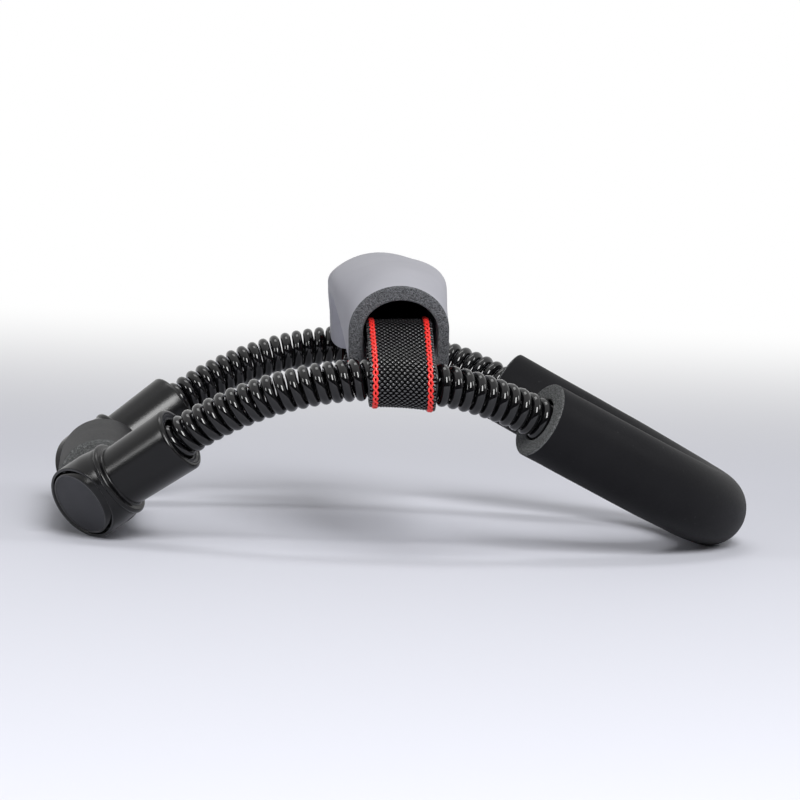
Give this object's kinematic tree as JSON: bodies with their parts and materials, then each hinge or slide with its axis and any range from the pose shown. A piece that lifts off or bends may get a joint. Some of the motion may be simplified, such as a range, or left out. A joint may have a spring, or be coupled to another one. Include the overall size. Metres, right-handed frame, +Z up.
{
  "type": "wrist trainer",
  "caption": "Sprung wrist trainer: foam hand grip and U-shaped foam forearm rest joined by two coil springs, with a webbing strap and arched foam pad over the wrist.",
  "frame": {"origin": "centre of the bounding box's bottom face, on the surface that the trainer stands on", "axes": "+X along the forearm from the hand grip towards the elbow, +Y across the trainer, +Z up"},
  "size_m": [0.2208, 0.1762, 0.0874],
  "materials": {
    "coated_spring": "gloss black coating",
    "black_plastic": "satin moulded",
    "grey_plastic": "fine matte",
    "black_foam": "closed-cell foam, matte skin",
    "pad_foam": "closed-cell foam, smooth skin",
    "steel": "zinc plated",
    "webbing": "woven, red chain stripe near each edge",
    "hook_tape": "hook and loop"
  },
  "bodies": {
    "arm_rest": {"arm_rest_foam": "black_foam", "rear_bow": "steel"},
    "springs": {"side_spring_left": "coated_spring", "side_spring_right": "coated_spring"},
    "handle": {"handle_bar": "steel", "handle_grip": "black_foam", "corner_fitting_left": "black_plastic", "corner_cover_left": "grey_plastic", "spring_plug_left": "steel", "clamp_screw_left": "steel", "clamp_washer_left": "steel", "bar_pin_left": "steel", "corner_fitting_right": "black_plastic", "corner_cover_right": "grey_plastic", "spring_plug_right": "steel", "clamp_screw_right": "steel", "clamp_washer_right": "steel", "bar_pin_right": "steel"},
    "strap": {"webbing_strap": "webbing", "hook_patch_left": "hook_tape", "loop_patch_left": "hook_tape", "hook_patch_right": "hook_tape", "loop_patch_right": "hook_tape"},
    "pad": {"wrist_pad": "pad_foam"}
  },
  "joints": [
    {"name": "flex_rear", "type": "hinge", "parent": "arm_rest", "child": "springs", "pos_m": [0.01626, 0, 0.05071], "axis": [0, 1, 0], "range_deg": [-12, 30], "stiffness_Nm_per_rad": 6, "deforming": ["side_spring_left", "side_spring_right"]},
    {"name": "flex_front", "type": "hinge", "parent": "springs", "child": "handle", "pos_m": [-0.04664, 0, 0.04694], "axis": [0, 1, 0], "range_deg": [-12, 30], "stiffness_Nm_per_rad": 6, "deforming": ["side_spring_left", "side_spring_right"]},
    {"name": "strap_slide", "type": "slide", "parent": "springs", "child": "strap", "axis": [1, 0, 0], "range_m": [-0.01, 0.01], "deforming": ["side_spring_left", "side_spring_right", "webbing_strap", "hook_patch_left", "loop_patch_left", "hook_patch_right", "loop_patch_right"]},
    {"name": "pad_turn", "type": "hinge", "parent": "strap", "child": "pad", "pos_m": [0.00337, 0, -0.11852], "axis": [0.9986, 0, 0.0525], "range_deg": [-1.2, 1.2], "deforming": ["webbing_strap", "hook_patch_left", "loop_patch_left", "hook_patch_right", "loop_patch_right"]}
  ],
  "couplings": [
    {"joint": "flex_front", "follows": "flex_rear", "ratio": 1}
  ]
}
